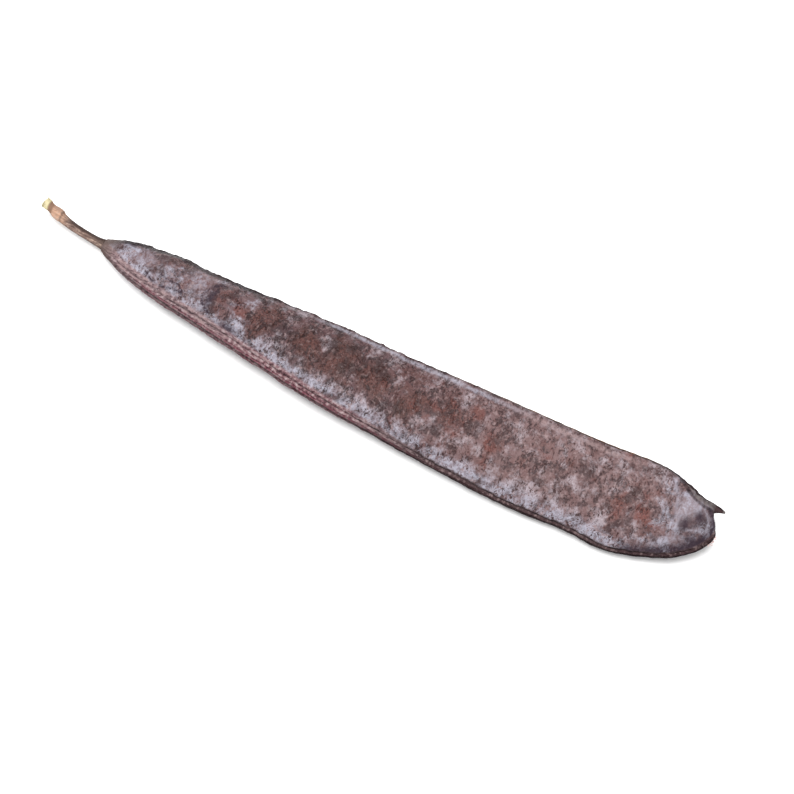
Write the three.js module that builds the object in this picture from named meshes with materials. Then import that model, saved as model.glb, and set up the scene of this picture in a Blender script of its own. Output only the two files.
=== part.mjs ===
// One ripe, dry honey locust pod with its stalk, as picked, lying on its flat side.
// Millimetres, +Z up. X runs from the stalk to the beak at the pod's tip. Y runs across the pod,
// from the seam that carries the seeds (-Y) to the thinner back seam (+Y).
// The origin is the middle of the bounding box's underside, on the surface that the pod lies on.
import * as THREE from "three";
import { SimplexNoise } from "three/addons/math/SimplexNoise.js";

// Pod: driving dimensions
const POD_WIDTH = 34; // across the widest part, from seam to seam
const POD_THICKNESS = 12.6; // through the widest part, between the seeds' swellings
const THICKNESS_TAPER = 0.6; // thickness goes with the local width to this power
const FULLNESS = 2.3; // 2 is an ellipse in cross-section, more is fuller towards the seams
const AXIS_Y = -4; // the long axis that the pod is twisted about
const TWIST_AT_STALK = -21; // degrees: the seed seam is turned up near the stalk
const TWIST_AT_TIP = 14; // degrees: the back seam is turned up near the tip
const TWIST_FROM_X = 15;
const TWIST_TO_X = 205;
const LEAN = 0.17; // degrees: how far the thick tip end lifts the seams above the stalk end
const REST_CUT = 0.5; // how far the lowest swellings are pressed flat where the pod lies

// Plan of the pod before its twist: one row for each cross-section, as x and y on the back seam,
// then x and y on the seed seam. The last rows fan out round the blunt tip and run into the beak.
const SECTIONS = [
  [0, 3.6, 0, -1.1],
  [2.5, 4.7, 2.5, -2.6],
  [7, 6.7, 7, -4.6],
  [14, 8.3, 14, -7.3],
  [27, 9.4, 27, -10.4],
  [45, 9, 45, -13.1],
  [70, 9.8, 69, -16.5],
  [93, 10, 91, -19.1],
  [116, 9.9, 114, -20.3],
  [141, 10.2, 141, -21.6],
  [166, 10.3, 165, -22.2],
  [188, 10.7, 186, -21.1],
  [202, 11.6, 200, -21.4],
  [210.5, 11, 212, -18.1],
  [217.5, 9, 221.5, -13.9],
  [222, 7.7, 228.7, -7.4],
  [224.6, 7.4, 231, -1.9],
  [226.2, 7.4, 229.2, 1.2],
  [227.4, 7.3, 227.3, 4.3],
  [228.9, 7.1, 229.1, 5.5],
  [230.6, 6.7, 230.8, 6],
];
const RING_STEP = 2; // longest step along either seam between two cross-sections
const LEAST_STEPS = 2; // in each row of the plan
const RING_POINTS = 40;
const SEAM_CROWDING = 0.6; // 0 spaces a ring's points evenly, and near 1 crowds them at the seams

// Seams: cords and furrows on each side of a seam line, measured along the skin from that line
const SEED_SEAM_RIDGES = [
  { at: 0, width: 0.55, rise: -0.35 },
  { at: 1.3, width: 0.65, rise: 0.55 },
  { at: 2.7, width: 0.6, rise: -0.3 },
  { at: 4.0, width: 0.7, rise: 0.3 },
];
const BACK_SEAM_RIDGES = [
  { at: 0, width: 0.5, rise: 0.3 },
  { at: 1.3, width: 0.5, rise: -0.25 },
  { at: 2.7, width: 0.7, rise: 0.35 },
];
const FULL_RIDGE_HALF_THICKNESS = 5; // ridges shrink where the pod is thinner than this
const RIM_DEEPENING = 2; // the back seam's furrow deepens into a step where the rim meets the beak
const RIM_FROM_X = 196;
const RIM_TO_X = 222;

// Seeds: one swelling each on both faces, with its middle at x and y in the plan
const SEEDS = [
  [28, 0],
  [47.5, -2],
  [64.5, -3],
  [80.5, -4],
  [94, -3],
  [107, -3],
  [121, -5.5],
  [136, -6],
  [151, -6],
  [167, -5],
  [183, -5],
  [198, -6],
  [209, -4.5],
];
const SEED_LENGTH = 8.4; // across the pod: where the swelling has fallen to about a third
const SEED_BREADTH = 4.9; // along the pod
const SEED_RISE = 1.05;
const SEED_SLANT = -6; // degrees: the ends at the back seam lean towards the stalk

// Wrinkles of the dry skin, coarse enough for the solid
const WRINKLE_RISE = 0.28;
const WRINKLE_LENGTH = 5.5; // along the pod
const WRINKLE_WIDTH = 9; // across the pod
const NOISE_SEED = 7;

// Stalk: centre line and radius from the pod's neck to the cut end
const NECK_GAP = 0.05; // between the stalk's face and the pod's neck
const STALK_PATH = [
  { x: 0, y: 1.25, rise: 0, radius: 2.05 },
  { x: -2.4, y: 1.2, rise: 0.1, radius: 1.75 },
  { x: -6, y: 1.4, rise: 0.3, radius: 1.58 },
  { x: -10, y: 1.75, rise: 0.6, radius: 1.58 },
  { x: -14, y: 2.35, rise: 1, radius: 1.6 },
  { x: -17, y: 3.0, rise: 1.35, radius: 1.72 },
  { x: -17.9, y: 3.25, rise: 1.45, radius: 1.85 },
  { x: -18.7, y: 3.5, rise: 1.55, radius: 2.2 },
  { x: -20.4, y: 3.95, rise: 1.8, radius: 2.15 },
  { x: -22, y: 4.4, rise: 2.05, radius: 1.75 },
  { x: -23.2, y: 4.75, rise: 2.2, radius: 1.7 },
  { x: -24, y: 5, rise: 2.3, radius: 1.95 },
  { x: -25.5, y: 5.45, rise: 2.5, radius: 2 },
];
const STALK_SIDES = 16;
const STALK_RINGS = 48;
const STALK_GROOVE = 0.1; // depth of the shrunken furrows along the stalk
const STALK_GROOVES = 5;
const SCAR_DEPTH = 0.45; // hollow of the pale scar where the stalk left its twig

const degrees = THREE.MathUtils.degToRad;
const bell = (distance, width) => Math.exp(-((distance / width) ** 2));

// A seeded generator, so that every build gives the same wrinkles.
function seededRandom(seed) {
  let state = seed;
  return () => {
    state = (state * 16807) % 2147483647;
    return state / 2147483647;
  };
}
const noise = new SimplexNoise({ random: seededRandom(NOISE_SEED) });

// A closed skin over a row of rings with equal numbers of points, with a fan over each end.
function skinOver(rings, startCentre, endCentre) {
  const sides = rings[0].length;
  const points = [...rings.flat(), startCentre, endCentre];
  const start = points.length - 2;
  const end = points.length - 1;
  const faces = [];
  for (let i = 0; i < rings.length - 1; i++) {
    for (let j = 0; j < sides; j++) {
      const a = i * sides + j;
      const b = i * sides + ((j + 1) % sides);
      faces.push(a, b, a + sides, b, b + sides, a + sides);
    }
  }
  const last = (rings.length - 1) * sides;
  for (let j = 0; j < sides; j++) {
    const next = (j + 1) % sides;
    faces.push(start, next, j, end, last + j, last + next);
  }
  const geometry = new THREE.BufferGeometry().setFromPoints(points);
  geometry.setIndex(faces);
  geometry.computeVertexNormals();
  return geometry;
}

// Cords and furrows of one seam, at a distance along the skin from the seam line.
function seamRelief(ridges, distance, scale) {
  let rise = 0;
  for (const ridge of ridges) {
    rise += ridge.rise * bell(distance / scale - ridge.at, ridge.width);
  }
  return rise * scale;
}

// Swellings over the seeds, of uneven height.
function seedRelief(x, y) {
  const slant = degrees(SEED_SLANT);
  let rise = 0;
  SEEDS.forEach(([seedX, seedY], i) => {
    const size = 0.86 + 0.14 * Math.cos(3.1 * i);
    const along = (x - seedX) * Math.cos(slant) - (y - seedY) * Math.sin(slant);
    const across = (x - seedX) * Math.sin(slant) + (y - seedY) * Math.cos(slant);
    rise += size * bell(along, SEED_BREADTH) * bell(across, SEED_LENGTH);
  });
  return SEED_RISE * rise;
}

// One ring of the flat, untwisted pod: seam to seam over the top face, and back underneath.
function podRing(back, seed) {
  const middle = back.clone().add(seed).multiplyScalar(0.5);
  const across = back.clone().sub(seed);
  const halfWidth = across.length() / 2;
  across.normalize();
  const thinning = (halfWidth / (POD_WIDTH / 2)) ** THICKNESS_TAPER;
  const halfThickness = (POD_THICKNESS / 2) * thinning;
  const outline = [];
  for (let j = 0; j < RING_POINTS; j++) {
    const even = (2 * Math.PI * j) / RING_POINTS;
    const angle = even - (SEAM_CROWDING / 2) * Math.sin(2 * even);
    const c = Math.cos(angle);
    const s = Math.sin(angle);
    outline.push(
      new THREE.Vector2(
        halfWidth * Math.sign(c) * Math.abs(c) ** (2 / FULLNESS),
        halfThickness * Math.sign(s) * Math.abs(s) ** (2 / FULLNESS),
      ),
    );
  }

  // Distance of each point from the back seam, along the skin of the face it is on.
  const half = RING_POINTS / 2;
  const fromBack = [0];
  for (let j = 1; j <= half; j++) {
    fromBack.push(fromBack[j - 1] + outline[j].distanceTo(outline[j - 1]));
  }
  const faceLength = fromBack[half];

  const ridgeScale = Math.min(1, halfThickness / FULL_RIDGE_HALF_THICKNESS);
  return outline.map((point, j) => {
    const travelled = fromBack[j <= half ? j : RING_POINTS - j];
    const before = outline[(j + RING_POINTS - 1) % RING_POINTS];
    const after = outline[(j + 1) % RING_POINTS];
    const normal = new THREE.Vector2(after.y - before.y, before.x - after.x).normalize();
    const x = middle.x + across.x * point.x;
    const y = middle.y + across.y * point.x;
    const onFace = Math.abs(normal.y) * ridgeScale;
    const wrinkle = noise.noise3d(x / WRINKLE_LENGTH, y / WRINKLE_WIDTH, Math.sign(point.y));
    const rim = 1 + RIM_DEEPENING * THREE.MathUtils.smoothstep(x, RIM_FROM_X, RIM_TO_X);
    const rise =
      rim * seamRelief(BACK_SEAM_RIDGES, travelled, ridgeScale) +
      seamRelief(SEED_SEAM_RIDGES, faceLength - travelled, ridgeScale) +
      onFace * (seedRelief(x, y) + WRINKLE_RISE * wrinkle);
    const p = point.clone().addScaledVector(normal, rise);
    return new THREE.Vector3(middle.x + across.x * p.x, middle.y + across.y * p.x, p.y);
  });
}

// Turns a point of the flat pod about the long axis, and leans the pod as it lies.
function settle(point) {
  const share = THREE.MathUtils.smoothstep(point.x, TWIST_FROM_X, TWIST_TO_X);
  const turn = degrees(THREE.MathUtils.lerp(TWIST_AT_STALK, TWIST_AT_TIP, share));
  const y = point.y - AXIS_Y;
  return new THREE.Vector3(
    point.x,
    AXIS_Y + y * Math.cos(turn) - point.z * Math.sin(turn),
    y * Math.sin(turn) + point.z * Math.cos(turn) + point.x * Math.tan(degrees(LEAN)),
  );
}

function podGeometry() {
  const seam = (column) => {
    const points = SECTIONS.map((row) => new THREE.Vector3(row[column], row[column + 1], 0));
    return new THREE.CatmullRomCurve3(points, false, "centripetal");
  };
  const back = seam(0);
  const seed = seam(2);
  const rows = SECTIONS.length - 1;
  const rings = [];
  for (let row = 0; row < rows; row++) {
    const from = row / rows;
    const to = (row + 1) / rows;
    const backStep = back.getPoint(from).distanceTo(back.getPoint(to));
    const seedStep = seed.getPoint(from).distanceTo(seed.getPoint(to));
    const steps = Math.max(LEAST_STEPS, Math.round(Math.max(backStep, seedStep) / RING_STEP));
    for (let i = 0; i < steps; i++) {
      const t = from + ((to - from) * i) / steps;
      rings.push(podRing(back.getPoint(t), seed.getPoint(t)));
    }
  }
  rings.push(podRing(back.getPoint(1), seed.getPoint(1)));

  const settled = rings.map((ring) => ring.map(settle));
  const middleOf = (ring) =>
    ring.reduce((sum, p) => sum.add(p), new THREE.Vector3()).divideScalar(ring.length);
  const tip = middleOf(settled.at(-1)).add(new THREE.Vector3(0.3, 0, 0));
  return skinOver(settled, middleOf(settled[0]), tip);
}

// The stalk is swept along its path, with furrows down its sides and a shallow scar at the end.
function stalkGeometry(neck) {
  const path = new THREE.CatmullRomCurve3(
    STALK_PATH.map(({ x, y, rise }) => new THREE.Vector3(x - NECK_GAP, y, rise)),
    false,
    "centripetal",
  );
  const radii = new THREE.SplineCurve(
    STALK_PATH.map(({ radius }, i) => new THREE.Vector2(i, radius)),
  );
  const rings = [];
  for (let i = 0; i <= STALK_RINGS; i++) {
    const t = i / STALK_RINGS;
    const centre = path.getPoint(t);
    const forward = i === 0 ? new THREE.Vector3(-1, 0, 0) : path.getTangent(t);
    const side = new THREE.Vector3(0, 0, 1).cross(forward).normalize();
    const up = forward.clone().cross(side);
    const radius = radii.getPoint(t).y;
    const ring = [];
    for (let j = 0; j < STALK_SIDES; j++) {
      const angle = (2 * Math.PI * j) / STALK_SIDES;
      const r = radius - STALK_GROOVE * (0.5 + 0.5 * Math.cos(STALK_GROOVES * angle + 3 * t));
      const p = centre.clone().addScaledVector(side, r * Math.cos(angle));
      ring.push(p.addScaledVector(up, r * Math.sin(angle)).add(neck));
    }
    rings.push(ring);
  }
  const scar = path.getPoint(1).addScaledVector(path.getTangent(1), -SCAR_DEPTH).add(neck);
  const face = path.getPoint(0).add(neck);
  return skinOver(rings, face, scar);
}

// Moves the meshes' own points, so that the group's frame is the part's frame.
function layOnSurface(pod, stalk) {
  pod.computeBoundingBox();
  const drop = -pod.boundingBox.min.z - REST_CUT;
  for (const geometry of [pod, stalk]) {
    geometry.translate(0, 0, drop);
  }
  const position = pod.getAttribute("position");
  for (let i = 0; i < position.count; i++) {
    position.setZ(i, Math.max(0, position.getZ(i)));
  }
  pod.computeBoundingBox();
  stalk.computeBoundingBox();
  const middle = pod.boundingBox.clone().union(stalk.boundingBox).getCenter(new THREE.Vector3());
  for (const geometry of [pod, stalk]) {
    geometry.translate(-middle.x, -middle.y, 0);
    geometry.computeVertexNormals();
  }
}

const pod = podGeometry();
const neckPoint = settle(new THREE.Vector3(0, STALK_PATH[0].y, 0));
const stalk = stalkGeometry(new THREE.Vector3(0, neckPoint.y - STALK_PATH[0].y, neckPoint.z));
layOnSurface(pod, stalk);

const podSkin = new THREE.MeshStandardMaterial({
  name: "pod_skin",
  color: 0x5c4645,
  roughness: 0.5,
  metalness: 0,
});
const stalkBark = new THREE.MeshStandardMaterial({
  name: "stalk_bark",
  color: 0x9a7458,
  roughness: 0.8,
  metalness: 0,
});

const podMesh = new THREE.Mesh(pod, podSkin);
podMesh.name = "pod";
const stalkMesh = new THREE.Mesh(stalk, stalkBark);
stalkMesh.name = "stalk";

const honeyLocustPod = new THREE.Group();
honeyLocustPod.name = "honey_locust_pod";
honeyLocustPod.add(podMesh, stalkMesh);

export default honeyLocustPod;
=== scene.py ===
"""Honey locust pod: the finished skin, seams, beak and stalk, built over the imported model.

Lengths in the property groups are in metres. The form's own rows and ridges are in millimetres, as
in the part's source, and are scaled once, when a mesh is made.
"""

import math

import bpy
import numpy as np
from mathutils import Matrix, Vector, noise


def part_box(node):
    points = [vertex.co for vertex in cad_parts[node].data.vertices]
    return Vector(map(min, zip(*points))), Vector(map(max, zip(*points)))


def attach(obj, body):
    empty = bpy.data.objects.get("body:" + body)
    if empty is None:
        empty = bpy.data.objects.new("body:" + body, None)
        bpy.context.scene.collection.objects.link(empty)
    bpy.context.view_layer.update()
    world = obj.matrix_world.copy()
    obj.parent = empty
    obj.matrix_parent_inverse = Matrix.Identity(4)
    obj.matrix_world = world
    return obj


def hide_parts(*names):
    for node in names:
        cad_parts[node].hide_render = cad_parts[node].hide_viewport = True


bl_info = {
    "name": "Honey locust pod",
    "version": (1, 0, 0),
    "blender": (4, 5, 0),
    "location": "View3D > Sidebar > Locust Pod",
    "description": "Builds a ripe honey locust pod with its ribbed seams, wrinkled skin and stalk",
    "category": "Add Mesh",
}

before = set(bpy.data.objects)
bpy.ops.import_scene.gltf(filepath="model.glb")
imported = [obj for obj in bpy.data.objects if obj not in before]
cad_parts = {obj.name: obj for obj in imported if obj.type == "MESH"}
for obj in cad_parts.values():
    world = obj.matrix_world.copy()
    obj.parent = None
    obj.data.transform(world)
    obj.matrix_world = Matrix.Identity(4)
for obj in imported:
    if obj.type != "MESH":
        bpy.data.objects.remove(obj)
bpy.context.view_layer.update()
POD_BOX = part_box("pod")
STALK_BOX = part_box("stalk")
MM = 0.001

# Pod's plan before its twist: one row for each cross-section, as x and y on the back seam, then
# x and y on the seed seam. The last rows fan out round the blunt tip and run into the beak.
SECTIONS = [
    (0, 3.6, 0, -1.1),
    (2.5, 4.7, 2.5, -2.6),
    (7, 6.7, 7, -4.6),
    (14, 8.3, 14, -7.3),
    (27, 9.4, 27, -10.4),
    (45, 9, 45, -13.1),
    (70, 9.8, 69, -16.5),
    (93, 10, 91, -19.1),
    (116, 9.9, 114, -20.3),
    (141, 10.2, 141, -21.6),
    (166, 10.3, 165, -22.2),
    (188, 10.7, 186, -21.1),
    (202, 11.6, 200, -21.4),
    (210.5, 11, 212, -18.1),
    (217.5, 9, 221.5, -13.9),
    (222, 7.7, 228.7, -7.4),
    (224.6, 7.4, 231, -1.9),
    (226.2, 7.4, 229.2, 1.2),
    (227.4, 7.3, 227.3, 4.3),
    (228.9, 7.1, 229.1, 5.5),
    (230.6, 6.7, 230.8, 6),
]
POD_WIDTH = 34
THICKNESS_TAPER = 0.6
FULLNESS = 2.3
AXIS_Y = -4
TWIST_FROM_X = 15
TWIST_TO_X = 205
LEAN = 0.17
RING_STEP = 0.52
RING_POINTS = 192
SEAM_CROWDING = 0.6
BEAK_POINT = (0.3, 0, 0)

# Cords and furrows beside each seam line: distance from it, half width and rise
SEED_SEAM_RIDGES = [
    (0, 0.3, -0.3),
    (0.8, 0.35, 0.36),
    (1.35, 0.22, -0.16),
    (1.9, 0.36, 0.4),
    (2.8, 0.32, -0.26),
    (3.75, 0.5, 0.3),
]
BACK_SEAM_RIDGES = [
    (0, 0.45, 0.3),
    (1.3, 0.45, -0.28),
    (2.7, 0.7, 0.38),
]
SEAM_WANDER = 0.3
SEAM_WANDER_LENGTH = 9
SEAM_KINK = 0.1
SEAM_KINK_LENGTH = 2.2
FULL_RIDGE_HALF_THICKNESS = 5
RIM_DEEPENING = 2
RIM_FROM_X = 196
RIM_TO_X = 222

# Seeds: the middle of each swelling in the plan
SEEDS = [
    (28, 0),
    (47.5, -2),
    (64.5, -3),
    (80.5, -4),
    (94, -3),
    (107, -3),
    (121, -5.5),
    (136, -6),
    (151, -6),
    (167, -5),
    (183, -5),
    (198, -6),
    (209, -4.5),
]
SEED_LENGTH = 8.4
SEED_BREADTH = 4.9
SEED_SLANT = math.radians(-6)

# Wrinkles that bend round the seeds: radians to a millimetre, then the distances from a seed over
# which they rise and end, and the stretch of the pod over which they fade
ARC_WAVE = 4.6
ARCS_RISE = (6, 8.5)
ARCS_END = (11.5, 14.5)
ARCS_FADE_X = (55, 85)

# Places of the skin that are unlike the rest: x and y in the plan, then half length and half width
# Waxy spots are smoother, with pale bloom on them that is partly painted sheen
WAXY_SPOTS = [
    (16, -0.5, 6, 3),
    (37.5, 1.5, 4, 6.5),
    (218.4, 2.2, 2.2, 5),
    (222.3, 3.6, 2.4, 3),
]
DARK_SPOTS = [
    # Partly painted shadow: this spot beside the neck, towards the back seam
    (9, 5.2, 4.5, 2.2),
    (44.5, -3.5, 1.5, 5),
    (55, -11.5, 4, 1.3),
    (220.4, -2.9, 1.7, 1.9),
    (223.9, 1.3, 1.9, 2.3),
    (225, -7, 2.5, 2),
]
RIPE_SPOTS = [
    (50, 0.5, 3.5, 2.5),
    (56, -4, 3, 2),
    (66, -3.5, 2.5, 3),
    (84, -5, 5, 4.5),
    (94, -5, 3, 4),
    (104, -4.5, 5, 3.5),
    (111, -5, 2.5, 4),
    (122, -7, 2.5, 3),
    (136.5, -4.5, 7.5, 5.5),
    (145, 1, 2.5, 2),
    (152, -7, 2.2, 3.5),
    (199, -6, 2.5, 4),
    (206.5, -5, 3, 4),
]
# Dark creases, and pale lines: half width, then the line's points in the plan
CREASES = [
    (0.5, [(46.5, 3.1), (44.6, 2.5), (42.6, 0), (41.2, -4), (43, -7.4), (46.4, -9.6)]),
    (0.45, [(46, -0.4), (44.3, -3), (44.8, -5.6)]),
    (0.45, [(20, -5), (23, -6.9), (25.9, -8.1), (30.2, -7), (34.5, -7)]),
    (0.4, [(24, -3.4), (27.7, -4.6), (32.3, -4.7), (34.5, -6.4)]),
    # The last two lines are painted shade, past the corner where the blunt tip turns down and along its
    # belly beside the seed seam
    (0.9, [(226, 5), (227.9, 3), (229.1, 0.6), (229.5, -2)]),
    (2.4, [(228.6, -4.8), (226, -8), (221.5, -12), (214.5, -16), (206, -19)]),
]
PALE_LINES = [
    (0.9, [(212.5, 8), (214.5, 4.5), (216.2, 1), (217.2, -2.5), (218.6, -6.5)]),
    (0.4, [(222.5, 6.4), (224.4, 4.6), (226.4, 2), (227.4, -0.5), (227.8, -2.2)]),
    (0.4, [(220, -5), (222.7, -4.1), (227.1, -2.5)]),
    (0.6, [(223.9, 6.9), (225.4, 5.6)]),
    (1, [(221, -7.4), (217, -10), (213, -13.2)]),
]

# Stalk's centre line from the pod's neck to the cut end: x, y, rise and radius
STALK_PATH = [
    (0, 1.25, 0, 2.05),
    (-2.4, 1.2, 0.1, 1.75),
    (-6, 1.4, 0.3, 1.58),
    (-10, 1.75, 0.6, 1.58),
    (-14, 2.35, 1, 1.6),
    (-17, 3.0, 1.35, 1.72),
    (-17.9, 3.25, 1.45, 1.85),
    (-18.7, 3.5, 1.55, 2.2),
    (-20.4, 3.95, 1.8, 2.15),
    (-22, 4.4, 2.05, 1.75),
    (-23.2, 4.75, 2.2, 1.7),
    (-24, 5, 2.3, 1.95),
    (-25.5, 5.45, 2.5, 2),
]
NECK_GAP = 0.05
STALK_SIDES = 96
STALK_RINGS = 150
STALK_GROOVES = 5
STALK_GROOVE = 0.12
STALK_FIBRES = 17
STALK_FIBRE = 0.045
STALK_TURN = 3
STALK_WANDER = 0.5
STALK_WANDER_LENGTH = 6
FIBRE_DRIFT = 5
SCAR_RINGS = 7
SCAR_DEPTH = 0.45
SCAR_RAGGEDNESS = 0.12

# Torn fibres of the scar and of the split seed seam: their places, roots and headings
SCAR_FACING = (-0.95, 0.25, 0.1)
SCAR_FIBRE_STEP = 4
SCAR_FIBRE_SPREAD = 0.35
SCAR_FIBRE_INSET = 0.1
FIBRE_ROOT = 0.25
TIP_FIBRES = 14
TIP_FIBRE_HEADING = (0.9, -0.45, 0.1)
SPLIT_REACH = 0.8
SPLIT_FROM_X = 225
SPLIT_FROM_Y = -5.5
SPLIT_TO_Y = -1.5

# Stage, in metres
FLOOR_HALF = 3
SOFTBOX_PLACE = (-0.05, 0.02, 0.95)
CLIP_START = 0.01


def smoothstep(value, low, high):
    """0 below low, 1 above high, and a smooth rise between them."""
    share = np.clip((value - low) / (high - low), 0, 1)
    return share * share * (3 - 2 * share)


def bell(distance, width):
    """A hump of height 1 that has fallen to about a third at width."""
    return np.exp(-((distance / width) ** 2))


def wander(places, length, lane):
    """A slow random wave between -1 and 1 along the pod, different for each lane."""
    return np.array([noise.noise(Vector((x / length, 7.3 * lane, 0.5))) for x in places])


def rail(points, shares):
    """Points at shares from 0 to 1 along a centripetal Catmull-Rom curve through points."""
    points = np.asarray(points, float)
    padded = np.vstack([2 * points[0] - points[1], points, 2 * points[-1] - points[-2]])
    places = np.clip(shares, 0, 1) * (len(points) - 1)
    start = np.minimum(places.astype(int), len(points) - 2)
    w = (places - start)[:, None]
    p0, p1, p2, p3 = (padded[start + k] for k in range(4))
    pairs = ((p0, p1), (p1, p2), (p2, p3))
    d0, d1, d2 = (np.sqrt(np.linalg.norm(b - a, axis=1))[:, None] for a, b in pairs)
    leave = d1 * ((p1 - p0) / d0 - (p2 - p0) / (d0 + d1) + (p2 - p1) / d1)
    arrive = d1 * ((p2 - p1) / d1 - (p3 - p1) / (d1 + d2) + (p3 - p2) / d2)
    square = 3 * (p2 - p1) - 2 * leave - arrive
    cube = 2 * (p1 - p2) + leave + arrive
    return p1 + leave * w + square * w**2 + cube * w**3


def ring_shares():
    """Shares along the two seams at which the pod has its rings, closer where a seam is longer."""
    rows = len(SECTIONS) - 1
    plan = np.array(SECTIONS, float)
    shares = []
    for row in range(rows):
        travel = np.abs(plan[row + 1] - plan[row])
        longest = max(math.hypot(*travel[:2]), math.hypot(*travel[2:]))
        steps = max(3, round(longest / RING_STEP))
        shares.extend((row + i / steps) / rows for i in range(steps))
    return np.array(shares + [1.0])


def seed_swell(x, y):
    """Height of the swellings over the seeds, where 1 is full, and the distance from the nearest."""
    swell = np.zeros_like(x)
    nearest = np.full_like(x, 99.0)
    for i, (seed_x, seed_y) in enumerate(SEEDS):
        size = 0.86 + 0.14 * math.cos(3.1 * i)
        along = (x - seed_x) * math.cos(SEED_SLANT) - (y - seed_y) * math.sin(SEED_SLANT)
        across = (x - seed_x) * math.sin(SEED_SLANT) + (y - seed_y) * math.cos(SEED_SLANT)
        swell += size * bell(along, SEED_BREADTH) * bell(across, SEED_LENGTH)
        nearest = np.minimum(nearest, np.hypot(along / 0.7, across))
    return swell, nearest


def seam_relief(ridges, distance, scale, rings_x, lane):
    """Height of one seam's cords and furrows, which wander a little along the pod."""
    rise = np.zeros_like(distance)
    for k, (at, width, height) in enumerate(ridges):
        drift = SEAM_WANDER * wander(rings_x, SEAM_WANDER_LENGTH, lane + k)
        drift += SEAM_KINK * wander(rings_x, SEAM_KINK_LENGTH, lane + k + 20)
        drift *= min(1, at)
        uneven = 1 + 0.5 * wander(rings_x, SEAM_KINK_LENGTH, lane + k + 40)
        rise += height * uneven[:, None] * bell(distance / scale - at - drift[:, None], width)
    return rise * scale


def seed_arcs(x, y, nearest):
    """Short close wrinkles that bend round the seeds, plainest beside the first ones."""
    wobble = 0.9 * np.sin(0.55 * x + 1.7 * np.sin(0.4 * y)) + 0.6 * np.sin(0.9 * y - 0.7 * x)
    wave = np.sin(ARC_WAVE * nearest + wobble)
    ring = smoothstep(nearest, *ARCS_RISE) * (1 - smoothstep(nearest, *ARCS_END))
    breaks = smoothstep(np.sin(1.1 * x + 0.7 * y) + np.sin(0.8 * y - 1.3 * x), -0.7, 0.7)
    return wave * ring * breaks * (1 - 0.75 * smoothstep(x, *ARCS_FADE_X))


def spots(places, x, y):
    """1 in the middle of each place, and a smooth fall round it."""
    total = np.zeros_like(x)
    for at_x, at_y, half_length, half_width in places:
        total += bell(np.hypot((x - at_x) / half_length, (y - at_y) / half_width), 1)
    return np.clip(total, 0, 1)


def near_lines(lines, x, y):
    """1 on each line, and a smooth fall beside it."""
    total = np.zeros_like(x)
    for width, points in lines:
        distance = np.full_like(x, 99.0)
        for (ax, ay), (bx, by) in zip(points, points[1:]):
            reach = (bx - ax) ** 2 + (by - ay) ** 2
            share = np.clip(((x - ax) * (bx - ax) + (y - ay) * (by - ay)) / reach, 0, 1)
            gap = np.hypot(x - ax - share * (bx - ax), y - ay - share * (by - ay))
            distance = np.minimum(distance, gap)
        total += bell(distance, width)
    return np.clip(total, 0, 1)


def add_object(name, data):
    """An object of this mesh, light or camera, in the scene."""
    thing = bpy.data.objects.new(name, data)
    bpy.context.scene.collection.objects.link(thing)
    return thing


def rings_to_mesh(name, rings, ends, attributes):
    """A closed mesh over rows of ring points, with a fan of triangles over each end."""
    count, sides = rings.shape[:2]
    points = np.vstack([rings.reshape(-1, 3), ends]) * MM
    first = np.arange(count * sides).reshape(count, sides)
    a = first[:-1]
    b = np.roll(a, -1, axis=1)
    quads = np.stack([a, b, b + sides, a + sides], axis=-1).reshape(-1, 4)
    start = count * sides
    last = first[-1]
    faces = quads.tolist()
    for j in range(sides):
        following = (j + 1) % sides
        faces.append((start, following, j))
        faces.append((start + 1, int(last[j]), int(last[following])))
    mesh = bpy.data.meshes.new(name)
    mesh.from_pydata(points.tolist(), [], faces)
    for attribute, values in attributes.items():
        capped = np.append(values.ravel(), [values[0].mean(), values[-1].mean()])
        layer = mesh.attributes.new(attribute, "FLOAT", "POINT")
        layer.data.foreach_set("value", capped.astype(np.float32))
    mesh.shade_smooth()
    mesh.validate()
    return add_object(name, mesh)


def settle(x, y, z, form):
    """Turns the flat pod about its long axis, and leans it as it lies."""
    share = smoothstep(x, TWIST_FROM_X, TWIST_TO_X)
    turn = form.twist_at_stalk + (form.twist_at_tip - form.twist_at_stalk) * share
    off = y - AXIS_Y
    return (
        x,
        AXIS_Y + off * np.cos(turn) - z * np.sin(turn),
        off * np.sin(turn) + z * np.cos(turn) + x * math.tan(math.radians(LEAN)),
    )


def walks_from_seams(flat, high):
    """Distances over the skin from the back seam and from the seed seam."""
    step = np.hypot(flat - np.roll(flat, 1, axis=1), high - np.roll(high, 1, axis=1))
    half = RING_POINTS // 2
    over = np.cumsum(np.hstack([np.zeros((len(flat), 1)), step[:, 1 : half + 1]]), axis=1)
    to_back = np.hstack([over, over[:, half - 1 : 0 : -1]])
    return to_back, over[:, -1:] - to_back


def outward(flat, high):
    """The direction away from the pod at each ring point, across and up."""
    run = np.roll(flat, -1, axis=1) - np.roll(flat, 1, axis=1)
    climb = np.roll(high, -1, axis=1) - np.roll(high, 1, axis=1)
    length = np.hypot(run, climb)
    return climb / length, -run / length


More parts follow.
